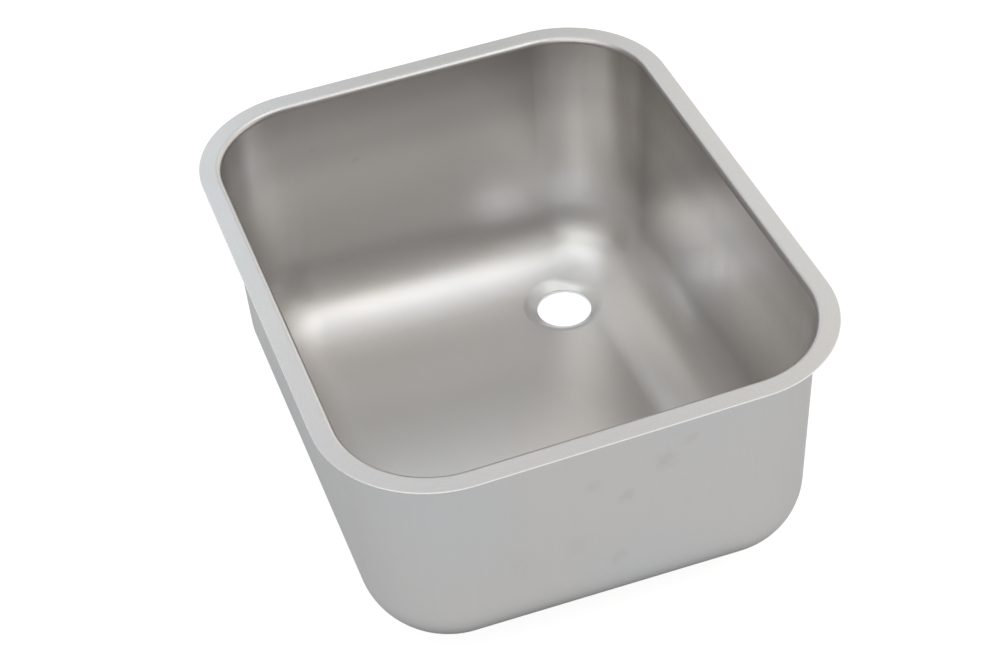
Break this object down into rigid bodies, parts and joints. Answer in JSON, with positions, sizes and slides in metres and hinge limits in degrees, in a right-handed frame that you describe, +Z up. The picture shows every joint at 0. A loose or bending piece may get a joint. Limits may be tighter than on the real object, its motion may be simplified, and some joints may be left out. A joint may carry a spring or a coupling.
{
  "type": "undermount kitchen sink",
  "caption": "Deep rectangular stainless steel bowl pressed from one sheet, with a flat flange that hangs under a worktop and a drain hole in the back right corner.",
  "frame": {"origin": "middle of the flange's top face, which lies against the worktop's underside", "axes": "+Z up out of the bowl's mouth, +X across the bowl and +Y along it, with the drain towards +X and +Y"},
  "size_m": [0.43, 0.52, 0.251],
  "materials": {
    "steel": "fine satin",
    "pad": "matt, self-adhesive mat"
  },
  "bodies": {
    "root": {"bowl": "steel", "sound_pad": "pad"}
  },
  "joints": []
}
